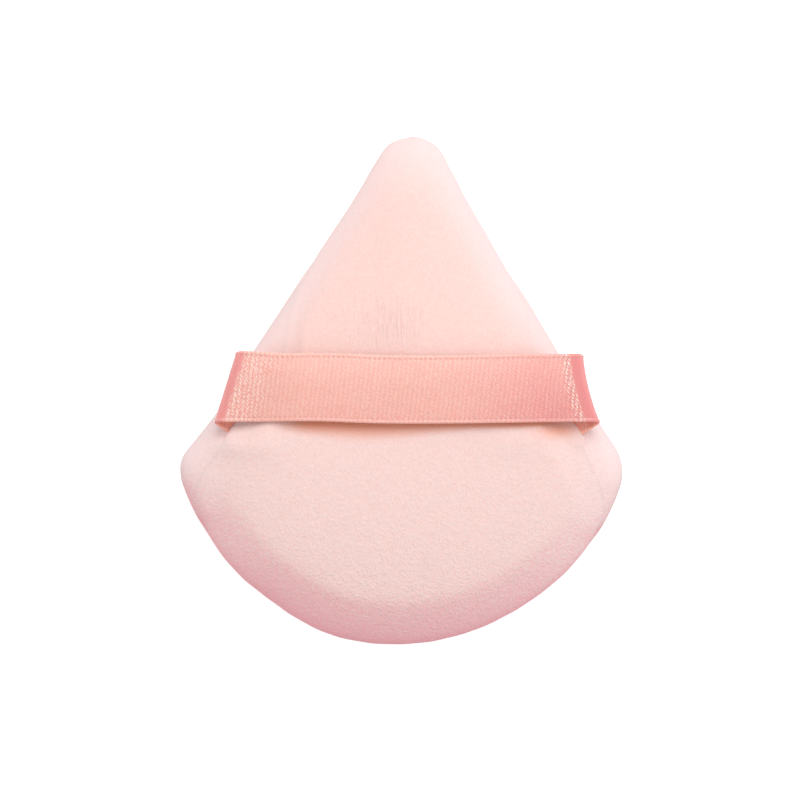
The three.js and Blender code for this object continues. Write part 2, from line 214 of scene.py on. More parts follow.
def pad_form(place, angle, depth, draw=SEAM_DRAW, draw_angle=SEAM_DRAW_ANGLE):
    """A point of the pad: a place along the outline, a rim angle and a depth below the surface. The plan
    reaches from the centre to the outline by the plan share, and the height from the mid-plane to a face
    by the rise share, both less the depth and less a bell-shaped draw at the seam."""
    edge = outline(place)
    inset = depth + draw * bell((angle - seam_angle(place)) / draw_angle)
    plan = plan_share(angle) * (1 - inset / side_reach)
    half = PAD_THICKNESS / 2 + np.where(angle < 0, REST_PRESS, 0)
    z = PAD_THICKNESS / 2 + rise_share(angle) * (half - inset)
    x = plan * edge[..., 0]
    y = centre_y + plan * (edge[..., 1] - centre_y)
    return np.stack(np.broadcast_arrays(x, y, np.maximum(depth, z)), axis=-1)


def leaned(points):
    """The whole puff leans sideways in proportion to the distance toward the tip."""
    x = points[..., 0] + SKEW * (points[..., 1] - corner_y)
    return np.stack([x, points[..., 1], points[..., 2]], axis=-1)


# The solids are set with the middle of their box over the origin, so the form is moved in the same way. It
# reaches furthest out somewhere on a band round the rim.
RIM_PLACES = 800
RIM_ANGLES = 81
RIM_BAND = np.radians(40)

rim_places = np.linspace(0, perimeter, RIM_PLACES)[:, None]
rim_angles = np.linspace(-RIM_BAND, RIM_BAND, RIM_ANGLES)
rim_grid = leaned(pad_form(rim_places, rim_angles, 0))
form_shift = np.append((rim_grid.min((0, 1)) + rim_grid.max((0, 1)))[:2] / 2, 0)


def settled(points):
    """Points of the form in metres, leaned and set over the origin."""
    return (leaned(points) - form_shift) / METRE


def signed_volume(points, faces):
    """Six times the volume inside triangles, below nought where they face inwards."""
    a, b, c = points[faces[:, 0]], points[faces[:, 1]], points[faces[:, 2]]
    return np.einsum("ij,ij->", a, np.cross(b, c))


def closed_surface(name, rows, values=None, flat=None):
    """A closed mesh from a grid of points in metres. The columns run round, and each end row is closed by a
    fan to its mean point. Values are named numbers at the grid's points, and flat is each point's place on
    the uncut cloth."""
    count, around = rows.shape[:2]
    points = np.concatenate([rows.reshape(-1, 3), rows[:1].mean(1), rows[-1:].mean(1)])
    index = np.arange(count * around).reshape(count, around)
    here, ahead = index[:-1], index[1:]
    quads = np.stack([here, np.roll(here, -1, 1), np.roll(ahead, -1, 1), ahead], axis=-1).reshape(-1, 4)
    pole = np.full(around, count * around)
    first = np.stack([np.roll(index[0], -1), index[0], pole], axis=-1)
    last = np.stack([index[-1], np.roll(index[-1], -1), pole + 1], axis=-1)
    if signed_volume(points, np.concatenate([quads[:, :3], quads[:, [0, 2, 3]], first, last])) < 0:
        quads, first, last = quads[:, ::-1], first[:, ::-1], last[:, ::-1]
    mesh = bpy.data.meshes.new(name)
    mesh.from_pydata(points, [], [*quads.tolist(), *first.tolist(), *last.tolist()])
    mesh.polygons.foreach_set("use_smooth", np.ones(len(mesh.polygons), bool))
    for key, value in (values or {}).items():
        whole = np.concatenate([value.ravel(), [value[0].mean(), value[-1].mean()]])
        mesh.attributes.new(key, "FLOAT", "POINT").data.foreach_set("value", whole.astype(np.float32))
    if flat is not None:
        whole = np.concatenate([flat.reshape(-1, 2), flat[:1].mean(1), flat[-1:].mean(1)])
        corners = np.empty(len(mesh.loops), np.int32)
        mesh.loops.foreach_get("vertex_index", corners)
        mesh.uv_layers.new(name="cloth").data.foreach_set("uv", whole[corners].astype(np.float32).ravel())
    piece = bpy.data.objects.new(name, mesh)
    bpy.context.collection.objects.link(piece)
    return piece


# Camera, floor and light

# The photo's width, and the point that the camera looks straight down at, both in millimetres.
PHOTO_WIDTH = 118.3
AIM = (-0.15, -1.33, 7.5)
CAMERA_HEIGHT = 800.0
SENSOR = 36.0
# Each light: its name, its direction from the puff, its size in metres, its power and its colour.
LIGHTS = (
    ("tip_light", (0.2, 1.0, 1.25), 0.65, 5.5, (1, 1, 0.98)),
    ("right_light", (1.0, 0.0, 0.35), 0.5, 2.5, (0.93, 0.95, 1)),
    ("left_light", (-1.0, 0.0, 0.35), 0.5, 1.5, (0.96, 0.97, 1)),
    ("base_light", (0.0, -1.0, 0.5), 0.5, 0.5, (1, 0.85, 0.8)),
)
LIGHT_DISTANCE = 1.0
FLOOR_HALF = 1.0
SURROUND_STRENGTH = 0.6
SURROUND_COLOUR = (1, 0.98, 0.98, 1)


def photo_camera():
    """A long lens straight above the puff, as the photo was taken: the frame spans the photo's width at the
    height of the pad's middle."""
    data = bpy.data.cameras.new("photo_camera")
    data.sensor_width = SENSOR
    data.lens = SENSOR * (CAMERA_HEIGHT - AIM[2]) / PHOTO_WIDTH
    data.clip_start = 0.01
    data.clip_end = 10
    camera = bpy.data.objects.new("photo_camera", data)
    camera.location = np.array([AIM[0], AIM[1], CAMERA_HEIGHT]) / METRE
    bpy.context.collection.objects.link(camera)
    bpy.context.scene.camera = camera


def soft_light(name, toward, size, power, colour):
    """A square area light in a direction from the puff, turned to face it."""
    data = bpy.data.lights.new(name, "AREA")
    data.shape = "SQUARE"
    data.size = size
    data.energy = power
    data.color = colour
    light = bpy.data.objects.new(name, data)
    way = np.array(toward, float) / np.linalg.norm(toward)
    light.location = way * LIGHT_DISTANCE
    light.rotation_euler = light.location.to_track_quat("Z", "Y").to_euler()
    bpy.context.collection.objects.link(light)


def studio():
    """A pale floor, soft lights and a pale surround. The floor is seen but throws no light back, so that
    the rim keeps its shade."""
    for light in LIGHTS:
        soft_light(*light)
    world = bpy.data.worlds.new("surround")
    world.use_nodes = True
    world.node_tree.nodes["Background"].inputs["Color"].default_value = SURROUND_COLOUR
    world.node_tree.nodes["Background"].inputs["Strength"].default_value = SURROUND_STRENGTH
    bpy.context.scene.world = world
    bpy.context.scene.view_settings.view_transform = "Standard"
    mesh = bpy.data.meshes.new("floor")
    corners = np.array([(-1, -1, 0), (1, -1, 0), (1, 1, 0), (-1, 1, 0)]) * FLOOR_HALF
    mesh.from_pydata(corners, [], [(0, 1, 2, 3)])
    floor = bpy.data.objects.new("floor", mesh)
    floor.visible_diffuse = False
    bpy.context.collection.objects.link(floor)
    floor.data.materials.append(pale_floor())


# Finishes

FLOOR_SHADES = ((0.93, 0.93, 0.93, 1), (0.95, 0.95, 0.95, 1))
FLOOR_GLOW = 0.5

# Velour: its tones by the nap toward the tip, less red and cooler toward the base as painted shade, and its
# other colours: a painted orange shadow of the ribbon, a painted sheen round the rim and painted shade on
# the faces away from the lights.
SMOOTH_PILE = ((0.885, 0.605, 0.56, 1), (0.94, 0.685, 0.635, 1))
# Painted shade: the pile toward the base is less red and cooler.
BASE_SIDE_SHADED_PILE = ((0.85, 0.605, 0.57, 1), (0.895, 0.685, 0.65, 1))
# Painted orange shadow of the ribbon, under and below the strap.
PAINTED_RIBBON_SHADOW = (0.81, 0.35, 0.23, 1)
# Painted sheen round the rim.
PAINTED_RIM_SHEEN = (0.93, 0.78, 0.80, 1)
# Painted shade on faces turned away from the lights.
PAINTED_SHADE_AWAY_FROM_LIGHT = (0.96, 0.47, 0.51, 1)
# Depths of relief in millimetres.
NAP_DEPTH = 0.14
CRUSH_DEPTH = 0.45

# Satin: its shades by wear, and its other colours: a paler side toward the tip painted as lit, painted
# shade round the folds, painted bounce light on the side turned under, painted shade and glints in the
# weave, and the cord and ties.
SILK_SHADES = ((0.90, 0.42, 0.35, 1), (0.95, 0.49, 0.425, 1))
# Painted light: the side toward the tip is paler.
SILK_LIT_TIP_SIDE = (0.96, 0.54, 0.47, 1)
# Painted shade round the folds.
SILK_FOLD_SHADE = (0.77, 0.265, 0.263, 1)
# Painted bounce light on the side turned under.
SILK_UNDER_BOUNCE = (1.0, 0.38, 0.27, 1)
# Painted shade between the weave's dashes, and painted glints on them.
PAINTED_WEAVE_SHADE = (0.70, 0.28, 0.24, 1)
PAINTED_WEAVE_GLINT = (1.0, 0.86, 0.8, 1)
CORD_COLOUR = (1.0, 0.62, 0.54, 1)
TIE_COLOUR = (0.62, 0.30, 0.27, 1)
WEAVE_DEPTH = 0.04
# The weave's rows: their pitch and slant, the length of a dash, and how far each row starts past the last.
HATCH_PITCH = 0.36
HATCH_SLANT = np.radians(50)
DASH_LENGTH = 0.95
DASH_STEP = 0.38

SPONGE_SHADES = ((0.62, 0.55, 0.42, 1), (0.93, 0.88, 0.78, 1))
PORE_DEPTH = 0.3
COTTON_SHADES = ((0.78, 0.50, 0.45, 1), (0.92, 0.70, 0.64, 1))
TWIST_DEPTH = 0.05


def finish_of(name, uniform):
    """A new material with the values that are the same all over, its node tree and its shader."""
    material = bpy.data.materials.new(name)
    material.use_nodes = True
    shader = material.node_tree.nodes["Principled BSDF"]
    for key, value in uniform.items():
        shader.inputs[key].default_value = value
    return material, material.node_tree, shader


def node(tree, kind, inputs=None, **settings):
    """A new node with its settings. An input is a value, or the output of another node."""
    made = tree.nodes.new(kind)
    for key, value in settings.items():
        setattr(made, key, value)
    for key, value in (inputs or {}).items():
        if isinstance(value, bpy.types.NodeSocket):
            tree.links.new(value, made.inputs[key])
        else:
            made.inputs[key].default_value = value
    return made


def sums(tree, operation, first, second=0.0, third=0.0):
    """One step of arithmetic between sockets or numbers."""
    return node(tree, "ShaderNodeMath", {0: first, 1: second, 2: third}, operation=operation).outputs[0]


def mixed(tree, share, first, second):
    """A colour between two, by a share. The node's colours are its inputs 6 and 7 and its output 2."""
    made = node(tree, "ShaderNodeMix", data_type="RGBA")
    for socket, value in ((made.inputs[0], share), (made.inputs[6], first), (made.inputs[7], second)):
        if isinstance(value, bpy.types.NodeSocket):
            tree.links.new(value, socket)
        else:
            socket.default_value = value
    return made.outputs[2]


def noise(tree, vector, stretch, scale, detail=2.0, roughness=0.5):
    """Noise on coordinates stretched by three factors, with scale in waves for each millimetre."""
    placed = node(tree, "ShaderNodeVectorMath", {0: vector, 1: stretch}, operation="MULTIPLY").outputs[0]
    settings = {"Vector": placed, "Scale": scale, "Detail": detail, "Roughness": roughness}
    return node(tree, "ShaderNodeTexNoise", settings).outputs["Fac"]


def object_millimetres(tree):
    """The piece's own coordinates in millimetres."""
    place = node(tree, "ShaderNodeTexCoord").outputs["Object"]
    return node(tree, "ShaderNodeVectorMath", {0: place, "Scale": METRE}, operation="SCALE").outputs[0]


def attribute(tree, name):
    """A named number that the piece holds at its points."""
    return node(tree, "ShaderNodeAttribute", attribute_name=name).outputs["Fac"]


def ramp(tree, value, low, high):
    """Nought at one value, one at another, and straight between them."""
    return node(tree, "ShaderNodeMapRange", {0: value, 1: low, 2: high, 3: 0.0, 4: 1.0}).outputs[0]


def bump(tree, height, depth, under=None):
    """Relief from a height of nought to one, as deep as depth in millimetres."""
    inputs = {"Height": height, "Distance": depth / METRE}
    if under is not None:
        inputs["Normal"] = under
    return node(tree, "ShaderNodeBump", inputs).outputs["Normal"]


def pale_floor():
    """A plain white floor, lifted a little so that it stays white."""
    material, tree, shader = finish_of("pale_floor", {
        "Roughness": 0.9,
        "Specular IOR Level": 0.1,
        "Emission Color": (1, 1, 1, 1),
        "Emission Strength": FLOOR_GLOW,
    })
    grain = noise(tree, object_millimetres(tree), (1, 1, 1), 0.02)
    tree.links.new(mixed(tree, grain, *FLOOR_SHADES), shader.inputs["Base Color"])
    return material


def peach_velour():
    """Short-pile velour: a fine nap, smooth toward the tip and more ruffled toward the base, where it is
    also painted less red and cooler as shade. It is a little lighter at the pile's tips, and has a painted
    sheen round the rim, strongest on the side toward the tip. Faces turned toward the base and the left,
    away from the lights, are painted a deeper pink as shade, with the tips still light along the change. A
    painted orange shadow of the ribbon lies under the strap and below it, and the pile is crushed at its
    edge."""
    material, tree, shader = finish_of("peach_velour", {
        "Roughness": 0.95,
        "Specular IOR Level": 0.1,
        "Sheen Weight": 0.12,
        "Sheen Roughness": 0.5,
        "Sheen Tint": (1, 0.95, 0.97, 1),
        "Subsurface Weight": 0.15,
        "Subsurface Radius": (1, 0.5, 0.5),
        "Subsurface Scale": 0.001,
    })
    place = object_millimetres(tree)
    toward_tip = node(tree, "ShaderNodeSeparateXYZ", {0: place}).outputs[1]
    nap = noise(tree, place, (1, 0.75, 0.8), 3.2, 2, 0.6)
    tufts = noise(tree, place, (0.8, 1, 0.8), 1.3, 2, 0.5)
    tips = noise(tree, place, (1, 0.9, 0.8), 2.6, 2, 0.6)
    brushed = noise(tree, place, (1, 0.7, 1), 0.1, 2, 0.5)
    streaks = noise(tree, place, (1, 0.12, 0.3), 2.0, 3, 0.6)
    grain = sums(tree, "MULTIPLY_ADD", nap, 0.7, sums(tree, "MULTIPLY", tufts, 0.3))
    spread = ramp(tree, grain, 0.3, 0.7)
    pile = mixed(tree, spread, *SMOOTH_PILE)
    # The pile toward the base is painted less red and cooler, as shade.
    base_side_shaded_pile = mixed(tree, spread, *BASE_SIDE_SHADED_PILE)
    lower = sums(tree, "MULTIPLY_ADD", brushed, 0.4, ramp(tree, toward_tip, 1.0, -6.0))
    pile_shaded_toward_base = mixed(tree, sums(tree, "SUBTRACT", lower, 0.2), pile, base_side_shaded_pile)
    # Painted orange shadow of the ribbon.
    ribbon_shadow = mixed(tree, attribute(tree, "ribbon_shadow"), pile_shaded_toward_base, PAINTED_RIBBON_SHADOW)
    # Painted sheen round the rim.
    pale = mixed(tree, attribute(tree, "pale"), ribbon_shadow, PAINTED_RIM_SHEEN)
    # Painted shade on faces turned away from the lights, with lighter tips along its change.
    away_from_light = attribute(tree, "painted_shade_away_from_light")
    change = sums(tree, "MULTIPLY", away_from_light, sums(tree, "SUBTRACT", 1.0, away_from_light))
    still_light = sums(tree, "MULTIPLY", sums(tree, "MULTIPLY", change, 1.4), ramp(tree, tips, 0.47, 0.6))
    into = sums(tree, "SUBTRACT", away_from_light, still_light)
    tree.links.new(mixed(tree, into, pale, PAINTED_SHADE_AWAY_FROM_LIGHT), shader.inputs["Base Color"])
    ruffle = sums(tree, "MULTIPLY_ADD", ramp(tree, toward_tip, 8.0, -30.0), 1.6, 0.4)
    relief = bump(tree, sums(tree, "MULTIPLY", grain, ruffle), NAP_DEPTH)
    creases = sums(tree, "MULTIPLY", streaks, attribute(tree, "crushed"))
    tree.links.new(bump(tree, creases, CRUSH_DEPTH, under=relief), shader.inputs["Normal"])
    return material


def salmon_satin():
    """Satin ribbon: the yarns are tied down in slanting rows of short dashes, each row a step further on
    than the one beside it. The dashes are raised by a bump, and their glints and the shade between them
    are painted into the colour, brightest where the ribbon turns down toward its folds. The side toward
    the tip is painted paler, as lit. A cord runs along each edge with a row of small ties inside it. The
    folds are smooth and painted deeper as shade, and the side that is turned under is painted warmer and
    lighter, as bounced light."""
    material, tree, shader = finish_of("salmon_satin", {
        "Roughness": 0.36,
        "Specular IOR Level": 0.55,
        "Anisotropic": 0.4,
        "Sheen Weight": 0.1,
        "Sheen Roughness": 0.4,
        "Sheen Tint": (1, 0.8, 0.74, 1),
        "Subsurface Weight": 0.4,
        "Subsurface Radius": (1, 0.45, 0.3),
        "Subsurface Scale": 0.0008,
    })
    cloth = node(tree, "ShaderNodeUVMap", uv_map="cloth").outputs[0]
    along, across = node(tree, "ShaderNodeSeparateXYZ", {0: cloth}).outputs[:2]
    place = object_millimetres(tree)
    wear = noise(tree, place, (0.3, 1, 1), 0.35, 3, 0.55)
    breaks = noise(tree, place, (1, 1, 1), 2.2, 2, 0.6)
    rise = sums(tree, "MULTIPLY", across, np.cos(HATCH_SLANT) / HATCH_PITCH)
    row = sums(tree, "MULTIPLY_ADD", along, np.sin(HATCH_SLANT) / HATCH_PITCH, rise)
    fall = sums(tree, "MULTIPLY", across, -np.sin(HATCH_SLANT) / DASH_LENGTH)
    run = sums(tree, "MULTIPLY_ADD", along, np.cos(HATCH_SLANT) / DASH_LENGTH, fall)
    bent_row = sums(tree, "MULTIPLY_ADD", breaks, 1.6, row)
    bent_run = sums(tree, "MULTIPLY_ADD", breaks, -2.0, run)
    step = sums(tree, "MULTIPLY_ADD", sums(tree, "FLOOR", bent_row), DASH_STEP, bent_run)
    arched = sums(tree, "SINE", sums(tree, "MULTIPLY", sums(tree, "FRACT", step), np.pi))
    rounded = sums(tree, "SINE", sums(tree, "MULTIPLY", sums(tree, "FRACT", bent_row), np.pi))
    weave = sums(tree, "MULTIPLY", arched, rounded)
    lit = sums(tree, "MULTIPLY_ADD", attribute(tree, "glint"), 0.7, 0.3)
    silk = mixed(tree, wear, *SILK_SHADES)
    # The side toward the tip is painted paler, as lit.
    tip_side = sums(tree, "MULTIPLY", ramp(tree, across, -1.0, 4.5), 0.7)
    paler = mixed(tree, tip_side, silk, SILK_LIT_TIP_SIDE)
    # Painted shade round the folds.
    fold_shade = mixed(tree, attribute(tree, "fold_shade"), paler, SILK_FOLD_SHADE)
    # Painted bounce light on the side turned under.
    deep = mixed(tree, attribute(tree, "under"), fold_shade, SILK_UNDER_BOUNCE)
    # Painted shade between the weave's dashes, and painted glints on them.
    shade = sums(tree, "MULTIPLY", ramp(tree, weave, 0.4, 0.0), lit)
    dark = mixed(tree, sums(tree, "MULTIPLY", shade, 0.8), deep, PAINTED_WEAVE_SHADE)
    bright = sums(tree, "MULTIPLY", ramp(tree, weave, 0.4, 0.95), lit)
    face = mixed(tree, sums(tree, "MULTIPLY", bright, 0.9), dark, PAINTED_WEAVE_GLINT)
    edged = mixed(tree, sums(tree, "MULTIPLY", attribute(tree, "cord"), 0.2), face, CORD_COLOUR)
    tied = mixed(tree, sums(tree, "MULTIPLY", attribute(tree, "ties"), 0.7), edged, TIE_COLOUR)
    tree.links.new(tied, shader.inputs["Base Color"])
    tree.links.new(bump(tree, sums(tree, "MULTIPLY", weave, lit), WEAVE_DEPTH), shader.inputs["Normal"])
    return material


def cream_sponge():
    """Open-cell sponge: round pores with painted shade inside, between thin walls."""
    material, tree, shader = finish_of("cream_sponge", {"Roughness": 0.95})
    place = object_millimetres(tree)
    cells = node(tree, "ShaderNodeTexVoronoi", {"Vector": place, "Scale": 1.6}).outputs["Distance"]
    # Painted shade inside the pores.
    tree.links.new(mixed(tree, cells, *SPONGE_SHADES), shader.inputs["Base Color"])
    tree.links.new(bump(tree, cells, PORE_DEPTH), shader.inputs["Normal"])
    return material


def pink_cotton():
    """Sewing thread: a fine twist of two plies, with a little fluff."""
    material, tree, shader = finish_of("pink_cotton", {"Roughness": 0.7})
    place = object_millimetres(tree)
    settings = {"Vector": place, "Scale": 1.5, "Distortion": 1.5}
    twist = node(tree, "ShaderNodeTexWave", settings).outputs["Fac"]
    tree.links.new(mixed(tree, twist, *COTTON_SHADES), shader.inputs["Base Color"])
    tree.links.new(bump(tree, twist, TWIST_DEPTH), shader.inputs["Normal"])
    return material


# The stuffed pad

# A panel's grid: points round it, rows over its face, down its lip and back inside, how the face's rows
# crowd toward the seam, and the shares at which the rows over the face and inside start.
AROUND = 432
OUTER_ROWS = 104
LIP_ROWS = 5
INNER_ROWS = 10
ROW_POWER = 1.4
FACE_START = 0.004
INSIDE_START = 0.01
PANEL_PLACES = np.linspace(0, perimeter, AROUND, endpoint=False)

# The seam: how deep the lips go in, how far apart they are, and how much more the ribbon needs beside its
# thickness. The mouths for the ribbon close over the mouth fade.
LIP = 2.4
CLOSED_SEAM = 0.02
RIBBON_ROOM = 0.1
MOUTH_FADE = 1.0
# The crease at the seam: its width, and the shares of the strap's pull between which it closes.
CREASE_WIDTH = 0.5
CREASE_CLOSES = (0.02, 0.3)
# The stitches' gathers: their depth, how far they reach, the stitch, and a second wave's share and length.
PUCKER = 0.05
PUCKER_REACH = 0.9
STITCH = 4.5
SECOND_SHARE = 0.6
SECOND_LENGTH = 1.7
# The upper panel's roll over the ribbon: how far out, its fade along the seam, its width and its lift.
ROLL = 0.3
ROLL_FADE = 4.0
ROLL_WIDTH = 0.9
ROLL_LIFT = 0.12
# Each dent in the rim: its place along the outline, half its width, its fade and its depth.
RIM_DENTS = (
    (tip_place, 1.0, 5.0, 0.2),
    (tip_place - 19.0, 5.0, 8.0, 0.35),
    (tip_place + 19.0, 5.0, 8.0, 0.4),
    (base_place, 18.0, 14.0, 0.32),
    (right_place + 8.0, 11.0, 12.0, 0.62),
    (right_place + 36.0, 6.0, 8.0, 0.3),
    (left_place - 7.0, 9.0, 9.0, 0.6),
    (left_place + 5.0, 3.0, 4.0, 0.5),
    (base_place - 29.0, 6.0, 16.0, 0.77),
)
DENT_FADE = np.radians((12, 45))
# Each place where the upper panel's lip comes further out over the ribbon: its place along the outline,
# half its width, its fade and how far.
LIPS = (
    (right_place - 4.5, 1.0, 3.5, 1.5),
    (left_place + 4.5, 1.0, 3.5, 0.7),
)
# Each place where the cover swells beside the strap or is pressed in under it: its X and Y, its reach along
# both, and its height.
SWELLS = (
    (-25.0, -7.8, 3.0, 2.0, 0.9),
    (-20.0, -7.5, 4.0, 2.6, 0.5),
    (18.0, -7.0, 5.0, 2.8, 0.5),
    (-3.0, -3.0, 12.0, 6.0, -0.5),
)
SWELL_HEIGHTS = (8.0, 13.0)

# The skin that the sponge blows up: its grid, the share at which its rows start, the millimetres in one of
# its units, how much smaller it starts, how far it may move, and the frames, pressure and quality of the
# simulation. It is held within the first distance of the seam and the rim, free beyond the second, and held
# below the rest height.
SKIN_AROUND = 144
SKIN_ROWS = 24
SKIN_START = 0.03
SKIN_UNIT = 10.0
SKIN_SHRINK = 0.5
SKIN_CAP = 1.0
SKIN_FRAMES = 20
SKIN_PRESSURE = 4
SKIN_QUALITY = 6
SKIN_HELD = (2.0, 6.0)
SKIN_REST = 0.05

# Where the pile is crushed: X and Y, and the reach along both.
CRUSHED = (-1.0, 10.0, 6.0, 4.0)
# Painted shade on faces turned away from the lights, toward the base and the left: how much a slope to the
# left counts, and the slopes between which it begins.
AWAY_LEFT_SHARE = 0.3
AWAY_SLOPES = (0.1, 0.88)
# Painted sheen round the rim, strongest on faces turned toward the tip: its share, the heights off the
# pad's middle and the slopes between which it fades.
RIM_SHEEN_SHARE = 0.5
RIM_SHEEN_HEIGHTS = (2.0, 7.1)
RIM_SHEEN_SLOPES = (-1.0, 0.3)
# A painted orange shadow of the ribbon on the pile, as if lit through the ribbon. Below the strap it fades
# # between two lengths, the second of them longer by a bell along X. Under the strap it is a fainter share,
# it
# # ends inside the upper edge, and it fades to both sides. There is a painted shadow spot at the right
# mouth,
# # by X, Y and reach. Only a face that looks up takes it.
RIBBON_SHADOW_BELOW = (0.2, 1.3)
RIBBON_SHADOW_LONGER = 2.2
RIBBON_SHADOW_LONGEST_X = -5.0
RIBBON_SHADOW_REACH = 11.0
RIBBON_SHADOW_UNDER = 0.4
RIBBON_SHADOW_UNDER_FADE = (-3.5, -0.5)
RIBBON_SHADOW_UPPER_FADE = (-4, 0)
RIBBON_SHADOW_SIDES = ((-20, -13), (22, 27))
RIBBON_SHADOW_SPOT = (23.2, -5.5, 3.0, 1.3)
RIBBON_SHADOW_SPOT_SHARE = 0.9
RIBBON_SHADOW_FACING = 0.3

# The sponge's grid, the shares at which its rows start and end, and the groove for the seam.
SPONGE_AROUND = 160
SPONGE_ROWS = 60
SPONGE_ENDS = (0.01, 0.99)
GROOVE = 6.0
GROOVE_ANGLE = np.radians(24)

TINY = 1e-12
PROFILE_POINTS = 4001
PROFILE_ANGLES = np.linspace(-np.pi / 2, np.pi / 2, PROFILE_POINTS)
steps_out = np.diff(side_reach * plan_share(PROFILE_ANGLES))
steps_up = np.diff(PAD_THICKNESS / 2 * rise_share(PROFILE_ANGLES))
PROFILE_LENGTHS = np.concatenate([[0], np.cumsum(np.hypot(steps_out, steps_up))])


def along_profile(angle):
    """The length along the pad's section, from the middle of the powder face up round the rim."""
    return np.interp(angle, PROFILE_ANGLES, PROFILE_LENGTHS)


def angle_along(length):
    """The rim angle at a length along the pad's section."""
    return np.interp(length, PROFILE_LENGTHS, PROFILE_ANGLES)


def along_rim(place, table):
    """The sum of a table's rows: each is its amount near its own place along the outline."""
    return sum(amount * near_place(place, at, half, fade) for at, half, fade, amount in table)


def dents(place, angle):
    """How far the stuffed rim falls short of its full outline: the sum of its dents, which fade up the
    shoulder."""
    return along_rim(place, RIM_DENTS) * (1 - smoothstep(angle, *DENT_FADE))


def gathers(place):
    """The wave of the stitches' gathers: two cosines of different lengths, lowered so that they only draw
    the cover in."""
    first = np.cos(2 * np.pi * place / STITCH)
    second = SECOND_SHARE * np.cos(2 * np.pi * place / (SECOND_LENGTH * STITCH) + 1)
    return first + second - (1 + SECOND_SHARE)


def stuffed(place, angle, depth, side):
    """The stuffed cover: the pad's form with its dents, a crease that deepens toward the seam by an
    exponential and closes where the strap pulls, and a ripple where the stitches gather it. The upper panel
    rolls out over the ribbon."""
    level = 1 - smoothstep(seam_angle(place) / STRAP_PULL, *CREASE_CLOSES)
    beside = along_profile(angle) - along_profile(seam_angle(place))
    crease = SEAM_DRAW * level * np.exp(-np.abs(beside) / CREASE_WIDTH)
    points = pad_form(place, angle, depth + crease, draw=0.0)
    ripple = PUCKER * gathers(place) * np.exp(-np.abs(beside) / PUCKER_REACH) * level
    lip = ROLL * at_ribbon(place, ROLL_FADE) + along_rim(place, LIPS)
    rolled = (side > 0) * lip * bell((beside - ROLL_WIDTH) / ROLL_WIDTH)
    outward = 1 + (ripple + rolled - dents(place, angle)) / side_reach
    points[..., 0] *= outward
    points[..., 1] = centre_y + outward * (points[..., 1] - centre_y)
    points[..., 2] += ROLL_LIFT * rolled
    return points


def at_ribbon(place, fade, inset=0.0):
    """One where the ribbon goes into the seam, less an inset at its edges, easing to nought over the
    fade."""
    half = (RIBBON_WIDTH / 2 - inset) * side_reach / seam_reach
    return np.maximum(near_place(place, right_place, half, fade), near_place(place, left_place, half, fade))


def half_angle(side, share, edge):
    """The rim angle on one half of the pad, by the share of the way along the pad's section from the middle
    of its face to an edge."""
    far = PROFILE_LENGTHS[-1] * (side > 0)
    return angle_along(far + (edge - far) * share)


def blown_skin():
    """How far the sponge's push moves the cover, from a cloth simulation: an even closed skin, a little
    smaller than the pad, held along the seam, round the rim and on the resting face, is blown up by
    pressure. Returns the move in millimetres from the pad's form, by half, over its rows and places."""
    place = np.linspace(0, perimeter, SKIN_AROUND, endpoint=False)[None, :]
    share = np.linspace(SKIN_START, 1, SKIN_ROWS)[:, None]
    edge = along_profile(seam_angle(place))
    angle = np.concatenate([half_angle(-1, share, edge), half_angle(1, share[-2::-1], edge)])
    full = stuffed(place, angle, 0.0, 0)
    length = along_profile(angle)
    beside = np.minimum(np.abs(length - edge), np.abs(length - along_profile(0.0)))
    held = np.maximum(1 - smoothstep(beside, *SKIN_HELD), full[..., 2] < SKIN_REST)
    start = stuffed(place, angle, SKIN_SHRINK * (1 - held), 0)
    skin = closed_surface("skin", start / SKIN_UNIT)
    group = skin.vertex_groups.new(name="held")
    tenths = np.round(held.ravel(), 1)
    for weight in np.unique(tenths)[1:]:
        group.add(np.nonzero(tenths == weight)[0].tolist(), float(weight), "REPLACE")
    blown = skin.modifiers.new("stuffing", "CLOTH")
    blown.settings.vertex_group_mass = "held"
    blown.settings.effector_weights.gravity = 0
    blown.settings.use_pressure = True
    blown.settings.uniform_pressure_force = SKIN_PRESSURE
    blown.settings.quality = SKIN_QUALITY
    blown.collision_settings.use_collision = False
    blown.point_cache.frame_end = SKIN_FRAMES
    for step in range(1, SKIN_FRAMES + 1):
        bpy.context.scene.frame_set(step)
    mesh = skin.evaluated_get(bpy.context.evaluated_depsgraph_get()).data
    ended = np.empty(len(mesh.vertices) * 3, np.float32)
    mesh.vertices.foreach_get("co", ended)
    bpy.data.objects.remove(skin)
    bpy.context.scene.frame_set(1)
    move = ended.reshape(-1, 3)[: start.size // 3].reshape(start.shape) * SKIN_UNIT - start
    reach = np.linalg.norm(move, axis=-1, keepdims=True)
    move *= np.minimum(1, SKIN_CAP / np.maximum(reach, TINY))
    moved = start + move - full
    moved[..., 2] = np.maximum(moved[..., 2], -full[..., 2])
    return {-1: moved[:SKIN_ROWS], 1: moved[SKIN_ROWS - 1 :][::-1]}


def blended(field, share, place):
    """The skin's move at shares and places between its grid points, by cubic B-splines both ways."""
    def knots(value):
        index = np.floor(value).astype(int)
        t = value - index
        weights = ((1 - t) ** 3, 3 * t**3 - 6 * t**2 + 4, 3 * (t + t**2 - t**3) + 1, t**3)
        return [(index + step - 1, weight / 6) for step, weight in enumerate(weights)]

    rows = knots((share - SKIN_START) / (1 - SKIN_START) * (SKIN_ROWS - 1))
    columns = knots(place / perimeter * SKIN_AROUND)
    return sum(
        field[np.clip(row, 0, SKIN_ROWS - 1), column % SKIN_AROUND] * (by_row * by_column)[..., None]
        for row, by_row in rows
        for column, by_column in columns
    )


